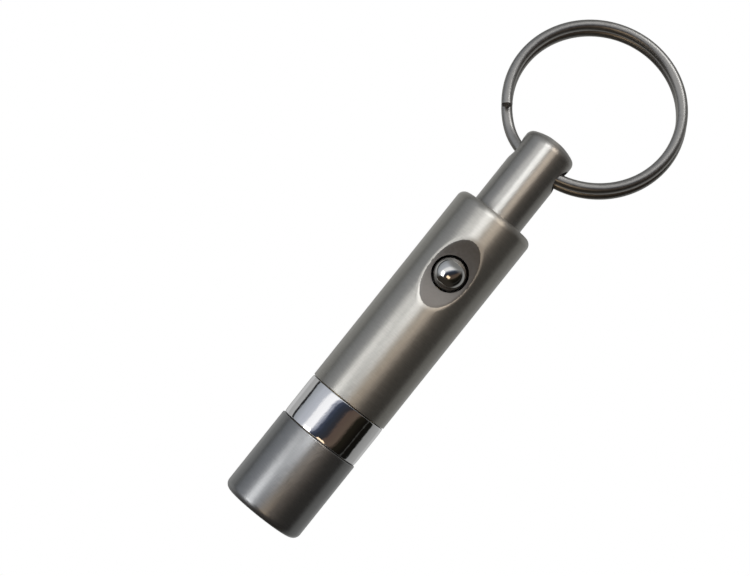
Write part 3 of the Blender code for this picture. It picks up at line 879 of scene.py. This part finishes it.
def studio_colour(nodes):
    """Colour of the studio in each direction: bands, a plain ceiling and a dark ground.

    The bands meet on an axis that leans from +Z towards +X.
    """
    turned = nodes.add("ShaderNodeVectorRotate", rotation_type="Z_AXIS")
    turned.inputs["Angle"].default_value = -math.radians(VIEW_TURN)
    direction = nodes.add("ShaderNodeTexCoord").outputs["Generated"]
    nodes.link(direction, turned.inputs["Vector"])
    split = nodes.add("ShaderNodeSeparateXYZ")
    nodes.link(turned.outputs[0], split.inputs[0])
    x, y, z = split.outputs

    leaned_x = nodes.calculate("MULTIPLY", x, STUDIO_COS)
    leaned_z = nodes.calculate("MULTIPLY", z, STUDIO_SIN)
    across = nodes.calculate("SUBTRACT", leaned_x, leaned_z)
    azimuth = nodes.calculate("ARCTAN2", across, nodes.calculate("MULTIPLY", y, -1.0))
    turn = nodes.calculate("ADD", nodes.calculate("DIVIDE", azimuth, 2 * math.pi), 0.5)
    bands = nodes.add("ShaderNodeValToRGB")
    fill_ramp(bands.color_ramp)
    nodes.link(turn, bands.inputs[0])

    downwards = nodes.calculate("MULTIPLY", z, -1.0)
    to_ceiling = nodes.fade(z, *CEILING_FADE)
    to_ground = nodes.fade(downwards, *GROUND_FADE)
    upper = nodes.mix_colour(to_ceiling, bands.outputs[0], STUDIO_CEILING)
    return nodes.mix_colour(to_ground, upper, STUDIO_GROUND)


def studio_world():
    """Soft studio around the object. Camera rays see plain white."""
    world = bpy.data.worlds.new("studio")
    bpy.context.scene.world = world
    world.use_nodes = True
    world.node_tree.nodes.clear()
    nodes = Nodes(world.node_tree)
    studio = nodes.add("ShaderNodeBackground")
    nodes.link(studio_colour(nodes), studio.inputs["Color"])
    white = nodes.add("ShaderNodeBackground")
    white.inputs["Color"].default_value = (1, 1, 1, 1)
    seen = nodes.add("ShaderNodeLightPath").outputs["Is Camera Ray"]
    mix = nodes.add("ShaderNodeMixShader")
    nodes.link(seen, mix.inputs[0])
    nodes.link(studio.outputs[0], mix.inputs[1])
    nodes.link(white.outputs[0], mix.inputs[2])
    output = nodes.add("ShaderNodeOutputWorld")
    nodes.link(mix.outputs[0], output.inputs[0])


def soft_light(name, bearing, size, watts, colour=(1, 1, 1), distance=0.5):
    """Rectangular area light that faces the object's middle.

    The bearing is degrees around the body from the camera's side and degrees up.
    """
    light = bpy.data.lights.new(name, "AREA")
    light.shape = "RECTANGLE"
    light.size, light.size_y = size
    light.energy = watts
    light.color = colour
    lamp = bpy.data.objects.new(name, light)
    bpy.context.scene.collection.objects.link(lamp)
    around = math.radians(bearing[0] + VIEW_TURN)
    up = math.radians(bearing[1])
    level = Vector((math.sin(around), -math.cos(around), 0))
    direction = level * math.cos(up) + Vector((0, 0, math.sin(up)))
    middle = (CAD_BOUNDS[0] + CAD_BOUNDS[1]) / 2
    lamp.location = middle + direction * distance
    lamp.rotation_euler = (-direction).to_track_quat("-Z", "Y").to_euler()
    return lamp


def light_only(lamps, pieces):
    """Let lamps reach these pieces and nothing else."""
    group = bpy.data.collections.new(lamps[0].name + "_pieces")
    for piece in pieces:
        group.objects.link(piece)
    for lamp in lamps:
        lamp.light_linking.receiver_collection = group


def table_material():
    """White glow on the front side and clear on the back."""
    material = bpy.data.materials.new("pale_table")
    material.use_nodes = True
    material.node_tree.nodes.clear()
    nodes = Nodes(material.node_tree)
    glow = nodes.add("ShaderNodeEmission")
    glow.inputs["Color"].default_value = (1, 1, 1, 1)
    clear = nodes.add("ShaderNodeBsdfTransparent")
    back_side = nodes.add("ShaderNodeNewGeometry").outputs["Backfacing"]
    mix = nodes.add("ShaderNodeMixShader")
    nodes.link(back_side, mix.inputs[0])
    nodes.link(glow.outputs[0], mix.inputs[1])
    nodes.link(clear.outputs[0], mix.inputs[2])
    output = nodes.add("ShaderNodeOutputMaterial")
    nodes.link(mix.outputs[0], output.inputs[0])
    return material


def make_table():
    """Plain pale table behind the object, seen only from its front side."""
    half_size = 0.6
    gap = 0.8 * MM
    shape = bmesh.new()
    bmesh.ops.create_grid(shape, x_segments=1, y_segments=1, size=half_size)
    table = new_object("table", shape, table_material())
    table.rotation_euler = (math.radians(90), 0, 0)
    table.location = (0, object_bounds()[1].y + gap, 0)
    table.visible_glossy = False
    table.visible_diffuse = False
    table.visible_shadow = False


def make_camera():
    """Long lens at the ball's side, rolled so that the body runs up to the right."""
    distance = 0.42
    metres_per_picture = 0.1197
    sensor = 36.0
    across = -8.03 * MM
    along = PLUNGER_TOP - 36.2 * MM
    roll = math.radians(51.35)
    camera_data = bpy.data.cameras.new("camera")
    camera_data.sensor_width = sensor
    camera_data.lens = sensor * distance / metres_per_picture
    camera_data.clip_start = 0.01
    camera = bpy.data.objects.new("camera", camera_data)
    bpy.context.scene.collection.objects.link(camera)
    right = Vector((math.sin(roll), 0, math.cos(roll)))
    upward = Vector((-math.cos(roll), 0, math.sin(roll)))
    facing = Matrix((right, upward, right.cross(upward))).transposed().to_4x4()
    around = Matrix.Rotation(math.radians(VIEW_TURN), 4, "Z")
    camera.matrix_world = around @ Matrix.Translation((across, -distance, along)) @ facing
    bpy.context.scene.camera = camera


def light_scene(barrel, band, cap, plunger, blade, ball, ring):
    """Soft lamps. The two strips would show in the mirror-bright pieces, so they skip them."""
    low_window = soft_light("low_window", (-44, -27), (0.17, 0.26), 0.55)
    light_only((low_window,), (barrel, band, cap, plunger, blade, ball))
    strip = soft_light("strip", (-17, 25), (0.12, 0.2), 0.45, distance=0.3)
    warm = (1.0, 0.86, 0.72)
    warm_strip = soft_light("warm_strip", (17, 36), (0.11, 0.2), 0.29, warm, distance=0.3)
    light_only((strip, warm_strip), (barrel, cap, plunger))
    ring_glow = soft_light("ring_glow", (-6, 64), (0.17, 0.17), 0.42)
    light_only((ring_glow,), (ring,))
    soft_light("warm_table", (4, -25), (0.2, 0.14), 0.14, (1.0, 0.76, 0.5))


def main():
    barrel = make_barrel()
    band = make_band()
    cap = make_cap()
    make_guide()
    plunger = make_plunger()
    blade = make_blade()
    ball = make_ball()
    ring = make_split_ring()
    make_return_spring()
    make_button_spring()
    dress_inner_nodes()
    make_table()
    studio_world()
    light_scene(barrel, band, cap, plunger, blade, ball, ring)
    make_camera()
    bpy.context.scene.view_settings.view_transform = "Standard"


main()
